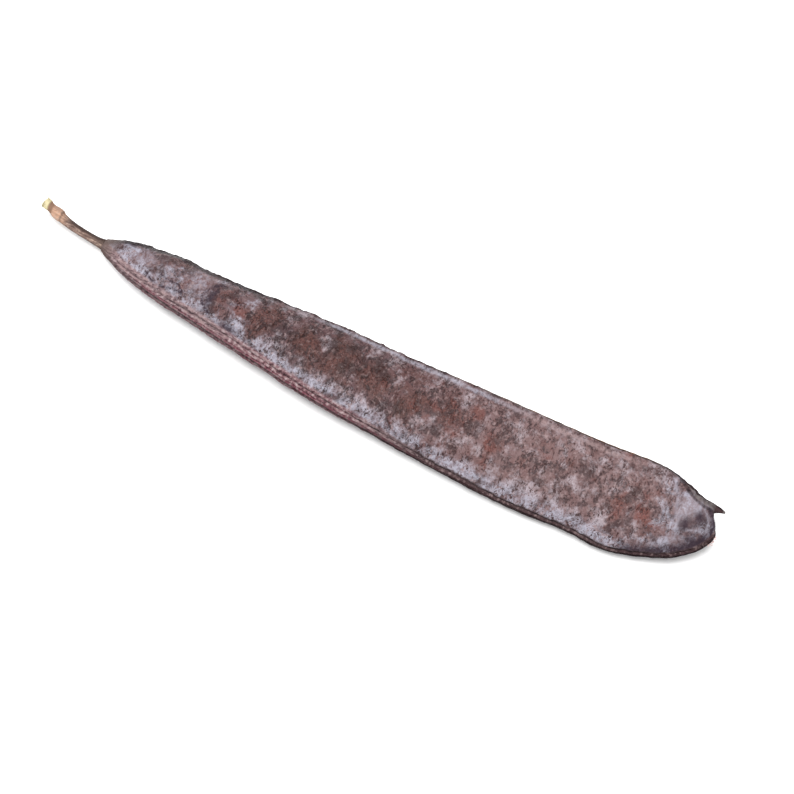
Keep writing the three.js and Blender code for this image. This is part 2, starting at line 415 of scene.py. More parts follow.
def pod_surface(form):
    """Ring points of the pod, settled as it lies, and what is known of each point of its skin."""
    shares = ring_shares()
    plan = np.array(SECTIONS, float)
    back = rail(plan[:, :2], shares)
    seed = rail(plan[:, 2:], shares)
    middle = (back + seed) / 2
    across = (back - seed) / 2
    half_width = np.linalg.norm(across, axis=1)[:, None]
    across = across / half_width
    half_thickness = form.thickness / MM / 2 * (half_width / (POD_WIDTH / 2)) ** THICKNESS_TAPER

    even = 2 * np.pi * np.arange(RING_POINTS) / RING_POINTS
    angle = even - SEAM_CROWDING / 2 * np.sin(2 * even)
    c = np.cos(angle)
    s = np.sin(angle)
    flat = half_width * np.sign(c) * np.abs(c) ** (2 / FULLNESS)
    high = half_thickness * np.sign(s) * np.abs(s) ** (2 / FULLNESS)

    to_back, to_seed = walks_from_seams(flat, high)
    normal_flat, normal_high = outward(flat, high)
    x = middle[:, :1] + across[:, :1] * flat
    y = middle[:, 1:] + across[:, 1:] * flat
    scale = np.minimum(1, half_thickness / FULL_RIDGE_HALF_THICKNESS)
    rim = 1 + RIM_DEEPENING * smoothstep(x, RIM_FROM_X, RIM_TO_X)
    on_face = np.abs(normal_high) * scale
    swell, nearest = seed_swell(x, y)
    back_seam = rim * seam_relief(BACK_SEAM_RIDGES, to_back, scale, middle[:, 0], 1)
    seed_seam = seam_relief(SEED_SEAM_RIDGES, to_seed, scale, middle[:, 0], 11)
    arcs = seed_arcs(x, y, nearest)
    on_skin = swell * form.seed_rise + arcs * form.arc_rise
    rise = back_seam + seed_seam + on_face * on_skin / MM
    flat = flat + normal_flat * rise
    high = high + normal_high * rise
    x_out = middle[:, :1] + across[:, :1] * flat
    y_out = middle[:, 1:] + across[:, 1:] * flat
    rings = np.stack(settle(x_out, y_out, high, form), axis=-1)
    about = {
        "along": x,
        "across": y,
        "to_back_seam": to_back,
        "to_seed_seam": to_seed,
        "seam_height": seed_seam,
        "swell": swell,
        "arcs": arcs,
        "on_face": on_face,
        "waxy": spots(WAXY_SPOTS, x, y),
        "gloom": spots(DARK_SPOTS, x, y),
        "ripe": spots(RIPE_SPOTS, x, y),
        "crease": near_lines(CREASES, x, y),
        "pale_line": near_lines(PALE_LINES, x, y),
    }
    return rings, about


class Value:
    """What a node gives. Plain signs join it to other values, by adding nodes to its bench."""

    def __init__(self, bench, socket):
        self.bench = bench
        self.socket = socket

    def __add__(self, other):
        return self.bench.math("ADD", self, other)

    def __sub__(self, other):
        return self.bench.math("SUBTRACT", self, other)

    def __rsub__(self, other):
        return self.bench.math("SUBTRACT", other, self)

    def __mul__(self, other):
        return self.bench.math("MULTIPLY", self, other)

    def __truediv__(self, other):
        return self.bench.math("DIVIDE", self, other)

    def __rtruediv__(self, other):
        return self.bench.math("DIVIDE", other, self)

    def __abs__(self):
        return self.bench.math("ABSOLUTE", self)

    def least(self, other):
        return self.bench.math("MINIMUM", self, other)

    def most(self, other):
        return self.bench.math("MAXIMUM", self, other)

    def ramp(self, low, high, start=0, end=1):
        """start below low, end above high, and a smooth change between them."""
        inputs = [("Value", self), ("From Min", low), ("From Max", high)]
        inputs += [("To Min", start), ("To Max", end)]
        return self.bench.out("ShaderNodeMapRange", inputs, interpolation_type="SMOOTHSTEP")

    def band(self, low, full, fall, end):
        """1 from full to fall, and a smooth change to 0 at low and at end."""
        return self.ramp(low, full) * self.ramp(end, fall)


class NodeBench:
    """Adds nodes to one tree and joins them, so that a tree reads as a list of its layers."""

    def __init__(self, tree):
        self.tree = tree

    def add(self, kind, inputs=(), **settings):
        """A node with its settings, and its inputs given as pairs of a socket and a value."""
        node = self.tree.nodes.new(kind)
        for setting, value in settings.items():
            setattr(node, setting, value)
        for socket, value in inputs:
            self.feed(node.inputs[socket], value)
        return node

    def out(self, kind, inputs=(), output=0, **settings):
        """What such a node gives."""
        return Value(self, self.add(kind, inputs, **settings).outputs[output])

    def feed(self, socket, value):
        """Links a worked-out value to the socket, or sets the socket's own value."""
        if isinstance(value, Value):
            self.tree.links.new(value.socket, socket)
        else:
            socket.default_value = value

    def given(self):
        """The tree's own inputs, by name."""
        outputs = self.add("NodeGroupInput").outputs
        return {output.name: Value(self, output) for output in outputs}

    def carried(self, name, kind="FLOAT"):
        """What each point of the mesh carries under this name."""
        if self.tree.bl_idname == "GeometryNodeTree":
            return self.out("GeometryNodeInputNamedAttribute", [("Name", name)], data_type=kind)
        return self.out("ShaderNodeAttribute", output="Fac", attribute_name=name)

    def place(self, units):
        """The object's own coordinates, with this many units to a metre."""
        return self.scaled(self.out("ShaderNodeTexCoord", output="Object"), units)

    def math(self, operation, a, b=0):
        return self.out("ShaderNodeMath", [(0, a), (1, b)], operation=operation)

    def scaled(self, vector, factor):
        inputs = [(0, vector), ("Scale", factor)]
        return self.out("ShaderNodeVectorMath", inputs, operation="SCALE")

    def stretched(self, vector, factors):
        return self.out("ShaderNodeVectorMath", [(0, vector), (1, factors)], operation="MULTIPLY")

    def mix(self, a, b, share, blend="MIX"):
        """Colour a, going over to colour b as share goes from 0 to 1."""
        inputs = [(0, share), (6, shader_colour(a)), (7, shader_colour(b))]
        return self.out("ShaderNodeMix", inputs, 2, data_type="RGBA", blend_type=blend)

    def noise(self, vector, seed, detail=2, roughness=0.5, distortion=0):
        inputs = [("Vector", vector), ("W", seed), ("Scale", 1), ("Detail", detail)]
        inputs += [("Roughness", roughness), ("Distortion", distortion)]
        return self.out("ShaderNodeTexNoise", inputs, noise_dimensions="4D")

    def pattern(self, place, fineness, *details):
        """Noise over a place, made finer by one number, or by one for each axis."""
        finer = self.stretched if isinstance(fineness, tuple) else self.scaled
        return self.noise(finer(place, fineness), *details)

    def cells(self, vector, smoothness):
        """Distance from the middle of each rounded cell."""
        inputs = [("Vector", vector), ("Scale", 1), ("Smoothness", smoothness)]
        return self.out("ShaderNodeTexVoronoi", inputs, "Distance", feature="SMOOTH_F1")

    def bump(self, shader, height, distance):
        """Lets the shader catch the light as a surface of this height does."""
        inputs = [("Height", height), ("Strength", 1), ("Distance", distance)]
        self.feed(shader.inputs["Normal"], self.out("ShaderNodeBump", inputs))


def shader_colour(colour):
    """A colour of the picker, as the shader wants it. A worked-out colour stays as it is."""
    if isinstance(colour, Value):
        return colour
    parts = [c / 12.92 if c <= 0.04045 else ((c + 0.055) / 1.055) ** 2.4 for c in colour[:3]]
    return (*parts, 1)


def new_tree(name, sockets):
    """A Geometry Nodes tree with these inputs after its geometry, then its bench and its inputs."""
    tree = bpy.data.node_groups.new(name, "GeometryNodeTree")
    tree.interface.new_socket("Geometry", in_out="INPUT", socket_type="NodeSocketGeometry")
    for socket_name, kind, default in sockets:
        socket = tree.interface.new_socket(socket_name, in_out="INPUT", socket_type=kind)
        if default is not None:
            socket.default_value = default
    tree.interface.new_socket("Geometry", in_out="OUTPUT", socket_type="NodeSocketGeometry")
    bench = NodeBench(tree)
    return tree, bench, bench.given()


def finish_tree(bench, geometry, material):
    """Every tree ends in real geometry with its material on it."""
    real = bench.out("GeometryNodeRealizeInstances", [("Geometry", geometry)])
    coated = bench.out("GeometryNodeSetMaterial", [("Geometry", real), ("Material", material)])
    bench.add("NodeGroupOutput", [(0, coated)])


def apply_tree(piece, tree, values):
    """Runs the tree on the piece and keeps the result as the piece's plain mesh."""
    modifier = piece.modifiers.new(tree.name, "NODES")
    modifier.node_group = tree
    for item in tree.interface.items_tree:
        if item.in_out == "INPUT" and item.name in values:
            modifier[item.identifier] = values[item.name]
    bpy.context.view_layer.update()
    evaluated = piece.evaluated_get(bpy.context.evaluated_depsgraph_get())
    result = bpy.data.meshes.new_from_object(evaluated)
    piece.modifiers.remove(modifier)
    used = piece.data
    piece.data = result
    bpy.data.meshes.remove(used)
    result.name = piece.name


def skin_relief_tree():
    """Folds, crepe and pebbles of the dry skin, pushed out along the pod's own surface."""
    sockets = [
        ("Fold Height", "NodeSocketFloat", 0.00022),
        ("Fold Size", "NodeSocketFloat", 0.0055),
        ("Crepe Height", "NodeSocketFloat", 0.00014),
        ("Crepe Size", "NodeSocketFloat", 0.0016),
        ("Pebble Height", "NodeSocketFloat", 0.0001),
        ("Pebble Size", "NodeSocketFloat", 0.0022),
        ("Seed", "NodeSocketFloat", 3.0),
        ("Material", "NodeSocketMaterial", None),
    ]
    tree, bench, given = new_tree("Dry skin relief", sockets)
    place = bench.out("GeometryNodeInputPosition")
    normal = bench.out("GeometryNodeInputNormal")

    def spread(size, stretch):
        """Coordinates in which one unit is size along Y and Z, and less along the pod."""
        return bench.stretched(bench.scaled(place, 1 / size), (stretch, 1, 1))

    seed = given["Seed"]
    folds = bench.noise(spread(given["Fold Size"], 1.5), seed, 2, 0.5, 0.6)
    crepe = bench.noise(spread(given["Crepe Size"], 2.2), seed + 5)
    pebbles = bench.cells(spread(given["Pebble Size"], 1.3), 0.4)

    fold = folds.ramp(0.3, 0.7, -1, 1) * given["Fold Height"]
    fine = crepe.ramp(0.3, 0.7, -1, 1) * given["Crepe Height"]
    pebble = pebbles.ramp(0.1, 0.7, 1, -1) * given["Pebble Height"]
    texture = (fine + pebble) * (1 - bench.carried("waxy"))
    push = bench.scaled(normal, (fold + texture) * bench.carried("on_face"))
    inputs = [("Geometry", given["Geometry"]), ("Offset", push)]
    moved = bench.out("GeometryNodeSetPosition", inputs)

    # Nothing goes below the surface that the pod lies on
    separate = bench.add("ShaderNodeSeparateXYZ", [(0, place)])
    x, y, z = (Value(bench, part) for part in separate.outputs)
    resting = bench.out("ShaderNodeCombineXYZ", [(0, x), (1, y), (2, z.most(0))])
    laid = bench.out("GeometryNodeSetPosition", [("Geometry", moved), ("Position", resting)])
    finish_tree(bench, laid, given["Material"])
    return tree


def tuft_tree():
    """Short tapered fibres standing on the points of a torn edge."""
    sockets = [
        ("Length", "NodeSocketFloat", 0.0015),
        ("Radius", "NodeSocketFloat", 0.00012),
        ("Seed", "NodeSocketInt", 4),
        ("Material", "NodeSocketMaterial", None),
    ]
    tree, bench, given = new_tree("Torn fibres", sockets)

    # One fibre: a short line, bent sideways and tapered
    tip = bench.out("ShaderNodeCombineXYZ", [(2, given["Length"])])
    line = bench.out("GeometryNodeCurvePrimitiveLine", [("End", tip)])
    stem = bench.out("GeometryNodeResampleCurve", [("Curve", line), ("Count", 6)])
    share = bench.out("GeometryNodeSplineParameter", output="Factor")
    bend = share * share * given["Length"]
    side = bench.out("ShaderNodeCombineXYZ", [(0, bend * 0.35)])
    bent = bench.out("GeometryNodeSetPosition", [("Geometry", stem), ("Offset", side)])
    inputs = [("Curve", bent), ("Radius", share.ramp(0.2, 1, 1, 0.25))]
    tapered = bench.out("GeometryNodeSetCurveRadius", inputs)
    inputs = [("Resolution", 6), ("Radius", given["Radius"])]
    circle = bench.out("GeometryNodeCurvePrimitiveCircle", inputs)
    inputs = [("Curve", tapered), ("Profile Curve", circle), ("Fill Caps", True)]
    fibre = bench.out("GeometryNodeCurveToMesh", inputs)

    # Its places: along each point's heading, turned and sized at random
    heading = bench.carried("heading", "FLOAT_VECTOR")
    aim = bench.out("FunctionNodeAlignRotationToVector", [("Vector", heading)], axis="Z")
    inputs = [(0, (-0.5, -0.5, -3.1)), (1, (0.5, 0.5, 3.1)), ("Seed", given["Seed"])]
    spin = bench.out("FunctionNodeRandomValue", inputs, data_type="FLOAT_VECTOR")
    inputs = [("Rotation", aim), ("Rotate By", spin)]
    turned = bench.out("FunctionNodeRotateRotation", inputs, rotation_space="LOCAL")
    inputs = [(2, 0.45), (3, 1), ("Seed", given["Seed"])]
    size = bench.out("FunctionNodeRandomValue", inputs, 1, data_type="FLOAT")
    inputs = [("Points", given["Geometry"]), ("Instance", fibre), ("Rotation", turned), ("Scale", size)]
    placed = bench.out("GeometryNodeInstanceOnPoints", inputs)
    finish_tree(bench, placed, given["Material"])
    return tree


def new_material(name):
    """A material with an empty tree, and the bench and shader to build it with."""
    material = bpy.data.materials.new(name)
    material.use_nodes = True
    material.node_tree.nodes.clear()
    bench = NodeBench(material.node_tree)
    shader = bench.add("ShaderNodeBsdfPrincipled")
    surface = Value(bench, shader.outputs[0])
    bench.add("ShaderNodeOutputMaterial", [("Surface", surface)])
    return material, bench, shader


class SkinPainter:
    """Paints the pod's skin. Each layer takes the colour so far and gives it back with itself on it."""

    def __init__(self, bench, look):
        self.bench = bench
        self.look = look
        self.mm = bench.place(1000)
        self.along = bench.carried("along")
        self.to_back = bench.carried("to_back_seam")
        self.to_seed = bench.carried("to_seed_seam")
        self.to_seam = self.to_back.least(self.to_seed)
        self.waxy = bench.carried("waxy")
        self.calm = self.waxy * 0.8
        self.ripe = bench.carried("ripe")
        self.middle = self.along.ramp(42, 75) * self.along.ramp(170, 100, 0.2, 1)
        self.crepe = bench.pattern(self.mm, (0.9, 0.5, 0.5), 3, 2, 0.6, 0.8)
        self.grain = bench.pattern(self.mm, 1.5, 4, 2, 0.6)
        self.knot = bench.pattern(self.mm, 0.9, 10)
        self.drift = bench.pattern(self.mm, 1 / 7, 1, 3, 0.6)
        self.fine = self.crepe * 0.85 + self.grain * 0.5
        self.wrinkle = self.wrinkles()
        self.gloom = self.dark_places()
        patch = bench.carried("swell") * (self.middle + 1)
        self.patch = patch * self.along.ramp(110, 160, 1, 0.4) + self.ripe
        self.browner = self.brown_places()
        self.bloom_and_highlight = self.bloom_and_highlight_places()

    def wrinkles(self):
        """A close crepe across the pod with a grain on it, a broader mottle and arcs round seeds."""
        mottle = self.bench.pattern(self.mm, (0.34, 0.24, 0.24), 5, 3, 0.7, 0.6)
        mottle = (mottle - 0.5) * self.along.ramp(85, 60, 1, 1.6)
        wrinkle = self.fine + mottle + self.bench.carried("arcs") * 0.13
        return (wrinkle - 0.675) * (1 - self.calm)

    def dark_places(self):
        """Dark spots, and creases that their wrinkles break up. The spot beside the neck is partly painted
        shadow, and the last two creases are painted shade.
        """
        whole = self.along.ramp(60, 200, 0.45, 0.85)
        crease = self.bench.carried("crease") * self.wrinkle.ramp(-0.05, 0.22, 1, whole)
        return self.bench.carried("gloom").most(crease)

    def brown_places(self):
        """Ripe patches over the seeds, and more of them away from the margins."""
        inner = self.to_seam.ramp(3, 11, -0.1, 0.1)
        browner = self.drift + self.patch * 0.16 + inner * self.middle.ramp(0, 1, 0.2, 0.6)
        return (browner - self.calm * 0.5).ramp(0.54, 0.84)

    def bloom_and_highlight_places(self):
        """Pale bloom, partly painted highlight: drifts near both margins, on the wrinkles' crests, in fine
        threads everywhere, and on the waxy spots.
        """
        margin = self.to_seed.ramp(5, 13, 0.09, -0.04) * self.along.ramp(212, 196)
        cloud = self.bench.pattern(self.mm, 1 / 5, 6, 4, 0.7) + margin
        cloud = cloud - self.drift.ramp(0.3, 0.7, -0.07, 0.09) - self.patch * 0.1
        thread = self.bench.pattern(self.mm, (0.55, 0.36, 0.36), 7, 3, 0.7, 1.2)
        thread = abs(thread - 0.5).ramp(0, 0.09, 1, 0) * self.along.ramp(120, 165, 0.85, 1)
        crest = self.wrinkle.ramp(-0.12, 0.16, 0.05, 1).most(thread)
        tipward = self.along.ramp(60, 210)
        dull = tipward.ramp(0, 1, 0, 0.3)
        clear = tipward.ramp(0, 1, 0.65, 0.85)
        # On the waxy spots the bloom is partly painted sheen
        smooth = self.waxy * self.fine.ramp(0.5, 0.85, dull, clear)
        return (cloud.ramp(0.4, 0.64, 0.08, 1) * crest).most(smooth)

    def ground(self):
        """Mauve, with brown over the seeds and red in the ripest patches."""
        bench, look, middle = self.bench, self.look, self.middle
        brown = bench.mix(look.brown, look.deep_brown, middle)
        mauve = bench.mix(look.mauve, look.deep_mauve, middle)
        mauve = bench.mix(mauve, look.pale_mauve, self.along.ramp(110, 165))
        colour = bench.mix(mauve, brown, self.browner)
        tint = bench.pattern(self.mm, 1 / 5, 2, 3) + self.ripe * 0.24
        redder = bench.mix(look.red_brown, look.deep_red, middle)
        return bench.mix(colour, redder, tint.ramp(0.56, 0.78, 0, 0.75))

    def shadows(self, colour):
        """Painted shade in the furrows and pits, and shadowy drifts, which keep the colour under them."""
        shade = self.bench.pattern(self.mm, 1 / 5.5, 12, 3, 0.65)
        furrow = self.wrinkle.ramp(0.08, -0.18, 0, 0.9)
        shade_depth = furrow.most(shade.ramp(0.54, 0.38, 0, 0.8)) * (1 - self.calm)
        pit_shade = self.browner * self.grain.ramp(0.52, 0.38, 0, 0.7)
        return self.bench.mix(colour, self.look.furrow, shade_depth.most(pit_shade), "MULTIPLY")

    def bloomed_and_highlighted(self, colour):
        """Grey bloom, partly painted highlight, warmer along the middle, and pink freckles."""
        bench, look, along = self.bench, self.look, self.along
        warm = along.band(50, 80, 206, 214) * self.to_seed.ramp(5, 11)
        colour = bench.mix(colour, bench.mix(look.bloom_and_highlight, look.warm_bloom_and_highlight, warm), self.bloom_and_highlight)
        freckle = bench.pattern(self.mm, 0.7, 8, 2, 0.6)
        freckle = freckle.ramp(0.54, 0.7, 0, 0.55) * self.browner.ramp(1, 0, 0.5, 1)
        colour = bench.mix(colour, look.pink, freckle * along.ramp(221, 213))
        greyer = along.ramp(217, 222, 0, 0.25) * self.waxy.ramp(0.7, 0.2)
        return bench.mix(colour, look.blotch, greyer)

    def marked(self, colour):
        """Dark places, part of them painted shadow and painted shade, and the pale lines of the tip."""
        patchy = self.wrinkle.ramp(-0.1, 0.2, 1, 0.75)
        colour = self.bench.mix(colour, self.look.blotch, self.gloom * patchy)
        patchy = self.crepe.ramp(0.35, 0.6, 0.1, 0.5)
        return self.bench.mix(colour, self.look.bloom_and_highlight, self.bench.carried("pale_line") * patchy)

    def cords(self, past_middle):
        """Pinkish cords of the seed seam with dark lines between them, brown towards the tip, where the
        brown is partly painted shadow.
        """
        bench, look, along, to_seed, knot = self.bench, self.look, self.along, self.to_seed, self.knot
        strand = bench.pattern(self.mm, (0.4, 1.6, 1.6), 9, 3, 0.6)
        flush = along.band(45, 70, 100, 120)
        strand = strand + (knot - strand) * flush * 0.7
        cord = bench.mix(look.cord, look.pink_cord, flush)
        cord = bench.mix(cord, look.pink, strand.ramp(0.42, 0.6, 0, 0.8))
        cord = bench.mix(cord, look.pale_cord, knot.ramp(0.5, 0.66, 0, 0.85))
        redden = to_seed.band(0.5, 1, 1.4, 2.1) * along.ramp(12, 25)
        cord = bench.mix(cord, look.red_cord, redden * knot.ramp(0.6, 0.45, 0.3, 0.7))
        # Brown past the middle: the seam's colour, partly painted shadow
        cord = bench.mix(cord, look.seam_brown, past_middle * 0.9)
        speck = (knot + self.crepe).ramp(1, 1.2) * past_middle * 0.5
        cord = bench.mix(cord, look.pink, speck)
        cord = bench.mix(cord, look.dark, strand.ramp(0.48, 0.36, 0, 0.65))
        lines = bench.carried("seam_height").ramp(-0.02, -0.3) * along.ramp(30, 90, 0.6, 0.85)
        return bench.mix(cord, look.dark, lines)

    def seed_seam(self, colour):
        """The cords beside the seed seam's line, and a dark line of painted shade along the edge, wider
        towards the tip.
        """
        along, to_seed, knot = self.along, self.to_seed, self.knot
        past_middle = along.ramp(95, 150)
        inward = past_middle.ramp(0, 1, 4.6, 3.8) - knot * 1.2
        share = (to_seed - inward).ramp(-0.3, 0.9, 1, 0)
        colour = self.bench.mix(colour, self.cords(past_middle), share)
        reach = along.ramp(125, 222, 0.4, 1.6) + knot * 1.6
        edge_shade = (to_seed / reach).ramp(1.2, 0.3, 0, 0.9) * along.ramp(60, 130, 0.5, 1)
        return self.bench.mix(colour, self.look.dark, edge_shade)

    def back_seam(self, colour):
        """A dark edge of painted shade, widened beside the stalk into painted shadow, with a pale ridge
        inside it and a golden line.
        """
        bench, look, along, to_back = self.bench, self.look, self.along, self.to_back
        # Painted shade along the back seam's edge, widened beside the stalk as painted shadow and towards
        # the tip
        edge = along.ramp(45, 80, 4.6, 2.4) + self.drift * 2 - along.ramp(145, 165, 0, 1.2)
        edge = edge + along.ramp(196, 208, 0, 1)
        colour = bench.mix(colour, look.dark, (to_back - edge).ramp(0.6, -1.2, 0, 0.85))
        ridge = to_back.band(3.2, 4.3, 4.9, 6.2) * self.crepe.ramp(0.35, 0.6, 0.2, 0.65)
        crown = bench.mix(look.bloom_and_highlight, look.pink, along.ramp(140, 165))
        colour = bench.mix(colour, crown, ridge * along.band(72, 90, 190, 205))
        gold = to_back.ramp(0.8, 0.4) * along.band(118, 132, 196, 208)
        return bench.mix(colour, look.gold, gold * self.knot.ramp(0.36, 0.6, 0.2, 0.75))

    def tip(self, colour):
        """A grey-brown strip between two dark lines, which runs out into the beak. The inner line is
        painted shade along the rim's furrow, and painted shade darkens the beak's back edge.
        """
        bench, look, along, to_back = self.bench, self.look, self.along, self.to_back
        rim = along.ramp(198, 212)
        inside = to_back / along.ramp(207, 223, 0.35, 0.95)
        strip = rim * inside.band(0.9, 1.5, 3.7, 4.2) * self.knot.ramp(0.38, 0.6, 0.35, 0.85)
        colour = bench.mix(colour, look.rim, strip)
        # Painted shade along the rim's furrow
        line = rim * inside.band(3.8, 4.3, 5, 5.9) * self.crepe.ramp(0.3, 0.6, 0.9, 0.6)
        colour = bench.mix(colour, look.dark, line)
        beak = along.ramp(226, 227.6) * bench.carried("across").ramp(4.2, 5.2)
        colour = bench.mix(colour, look.seam_brown, beak * 0.85)
        # Painted shade along the beak's back edge
        colour = bench.mix(colour, look.dark, beak * to_back.ramp(1.3, 0.6))
        return bench.mix(colour, look.rim, beak * along.ramp(229.6, 230.5))

    def neck(self, colour):
        """Grey brown, like the stalk that it grew with."""
        return self.bench.mix(colour, self.look.neck, self.along.ramp(8, 0.5) * 0.85)


def skin_material(look):
    """Waxy, wrinkled skin: mauve over brown, grey bloom mixed with painted highlight, pink seam cords, and
    painted shade in the furrows and along the edges.
    """
    material, bench, shader = new_material("pod skin")
    skin = SkinPainter(bench, look)
    colour = skin.ground()
    layers = (skin.shadows, skin.bloomed_and_highlighted, skin.marked, skin.seed_seam, skin.back_seam, skin.tip, skin.neck)
    for layer in layers:
        colour = layer(colour)
    bench.feed(shader.inputs["Base Color"], colour)
    bench.feed(shader.inputs["Roughness"], skin.bloom_and_highlight.ramp(0, 1, 0.42, 0.55))
    sheen = skin.to_seam.ramp(0.5, 5, 0.02, 0.15) * skin.gloom.ramp(0.2, 0.8, 1, 0.3)
    bench.feed(shader.inputs["Specular IOR Level"], sheen)
    bench.bump(shader, skin.wrinkle, 0.6 * MM)
    return material


def bark_material(look):
    """Dry stalk: tan and fibrous, with painted shade in its furrows, darker above, pale at the scar."""
    material, bench, shader = new_material("stalk bark")
    mm = bench.place(1000)
    along = bench.carried("along")
    behind = bench.carried("behind")
    fibre = bench.pattern(mm, (0.35, 1.7, 1.7), 2, 3, 0.6)
    grain = bench.pattern(mm, 1.1, 5, 3, 0.6)
    colour = bench.mix(look.tan, look.bark, along.ramp(-18.5, -14))
    colour = bench.mix(colour, look.neck, along.ramp(-9, -1))
    colour = bench.mix(colour, look.pale, (fibre + grain).ramp(0.98, 1.2, 0, 0.8))
    # Dark fibre lines, and painted shade in the grooves
    lined = fibre.ramp(0.5, 0.34).most(bench.carried("groove").ramp(0.55, 1, 0, 0.5))
    colour = bench.mix(colour, look.furrow, lined * along.ramp(-19, -16, 0.35, 0.8))

    # Above: a dark strip along the middle of the stalk
    strip = (behind + grain * 0.8).ramp(0.2, 0.6) * along.ramp(-16.5, -12, 0.3, 0.9)
    colour = bench.mix(colour, look.furrow, strip)

    # Swollen joint: a dark ledge of painted shade under it, a brown neck above it and the pale scar with a
    # rim of partly painted shade
    ledge = abs(along + grain * 1.2 + 17.3)
    colour = bench.mix(colour, look.furrow, ledge.ramp(0.1, 0.6, 0.5, 0))
    colour = bench.mix(colour, look.waist, abs(along + 22.6).ramp(0.5, 1.3, 0.85, 0))
    colour = bench.mix(colour, look.scar, along.ramp(-23.2, -23.9))
    # The scar's rim and far side: partly painted shade
    cap_edge = abs(along + 24.4).ramp(0.5, 0.95).most(behind)
    colour = bench.mix(colour, look.scar_rim, cap_edge * along.ramp(-23.2, -23.5, 0, 0.6))
    speck = bench.pattern(mm, 1.4, 6)
    colour = bench.mix(colour, look.waist, speck.ramp(0.6, 0.72, 0, 0.5))
    bench.feed(shader.inputs["Base Color"], colour)
    bench.feed(shader.inputs["Roughness"], 0.72)
    bench.feed(shader.inputs["Specular IOR Level"], 0.08)
    bench.bump(shader, fibre + grain * 0.5, 0.4 * MM)
    return material


def fibre_material(name, colour):
    """Torn plant fibre, paler along some strands."""
    material, bench, shader = new_material(name)
    shade = bench.noise(bench.place(900), 1)
    pale = [min(1, c * 1.25) for c in colour]
    bench.feed(shader.inputs["Base Color"], bench.mix(colour, pale, shade))
    bench.feed(shader.inputs["Roughness"], 0.8)
    return material


def number_property(name, description, default, unit):
    return bpy.props.FloatProperty(name=name, description=description, default=default, unit=unit)


def length_property(name, description, default):
    """A length in metres."""
    return number_property(name, description, default, "LENGTH")


def angle_property(name, description, degrees):
    """An angle, given here in degrees."""
    return number_property(name, description, math.radians(degrees), "ROTATION")


def colour_property(name, description, default):
    """A colour of the picker."""
    return bpy.props.FloatVectorProperty(
        name=name, description=description, default=default, subtype="COLOR_GAMMA", min=0, max=1
    )


class PodForm(bpy.types.PropertyGroup):
    """Sizes of the pod's body."""

    thickness: length_property(
        "Thickness", "Through the widest part, between the swellings over the seeds", 12.6 * MM
    )
    seed_rise: length_property(
        "Seed swelling", "How far the skin stands up over each seed", 1.05 * MM
    )
    arc_rise: length_property(
        "Arc wrinkles", "Half the height of the wrinkles that bend round the seeds", 0.1 * MM
    )
    twist_at_stalk: angle_property(
        "Twist at the stalk", "Turn about the long axis; a negative turn lifts the seed seam", -21
    )
    twist_at_tip: angle_property(
        "Twist at the tip", "Turn about the long axis; a positive turn lifts the back seam", 14
    )


class PodSkin(bpy.types.PropertyGroup):
    """Relief and colours of the pod's skin."""

    fold_height: length_property(
        "Fold height", "Half the height of the broad folds in the skin", 0.28 * MM
    )
    crepe_height: length_property(
        "Crepe height", "Half the height of the close wrinkles across the pod", 0.12 * MM
    )
    pebble_height: length_property(
        "Pebble height", "Half the height of the rounded grains in the skin", 0.09 * MM
    )
    mauve: colour_property("Mauve", "Skin between the seeds", (0.345, 0.253, 0.253))
    deep_mauve: colour_property("Deep mauve", "The same in the middle", (0.29, 0.2, 0.205))
    pale_mauve: colour_property("Pale mauve", "The same towards the tip", (0.385, 0.292, 0.288))
    brown: colour_property("Brown", "Skin over the seeds", (0.36, 0.215, 0.19))
    deep_brown: colour_property("Deep brown", "Skin over the middle seeds", (0.27, 0.15, 0.125))
    red_brown: colour_property("Red brown", "Ripest patches", (0.39, 0.2, 0.165))
    deep_red: colour_property("Deep red", "The same over the middle seeds", (0.3, 0.155, 0.125))
    # Furrow tints the painted shade of furrows and pits, and the shadowy drifts
    furrow: colour_property("Furrow", "Tint of furrows and shadowy drifts", (0.44, 0.36, 0.365))
    # Dark is also the painted shade along the pod's edges
    dark: colour_property("Dark", "Edges, and lines between the cords", (0.11, 0.08, 0.09))
    # Blotch is also painted shadow beside the neck, and painted shade at the blunt tip's rim and along its
    # belly
    blotch: colour_property("Blotch", "Dark places of the skin", (0.18, 0.145, 0.175))
    # Bloom and warm bloom are wax bloom and painted highlight together
    bloom_and_highlight: colour_property("Bloom", "Waxy bloom on the crests", (0.56, 0.55, 0.595))
    warm_bloom_and_highlight: colour_property("Warm bloom", "Thinner bloom on the middle", (0.56, 0.515, 0.535))
    pink: colour_property("Pink", "Freckles, and strands of the seed seam", (0.53, 0.45, 0.45))
    cord: colour_property("Cord", "Cords of the seed seam beside the stalk", (0.4, 0.32, 0.335))
    pink_cord: colour_property("Pink cord", "Cords further along", (0.4, 0.28, 0.3))
    red_cord: colour_property("Red cord", "Red line on the outer cord", (0.42, 0.24, 0.28))
    pale_cord: colour_property("Pale cord", "Knots on the cords", (0.58, 0.51, 0.52))
    # Seam brown is partly painted shadow where it darkens the seed seam towards the tip
    seam_brown: colour_property("Seam brown", "The seed seam towards the tip", (0.21, 0.15, 0.155))
    gold: colour_property("Gold", "Thin line along the back seam", (0.48, 0.36, 0.27))
    rim: colour_property("Rim", "Strip beside the back seam at the tip", (0.36, 0.335, 0.33))
    neck: colour_property("Neck", "Neck where the stalk joins", (0.35, 0.295, 0.28))


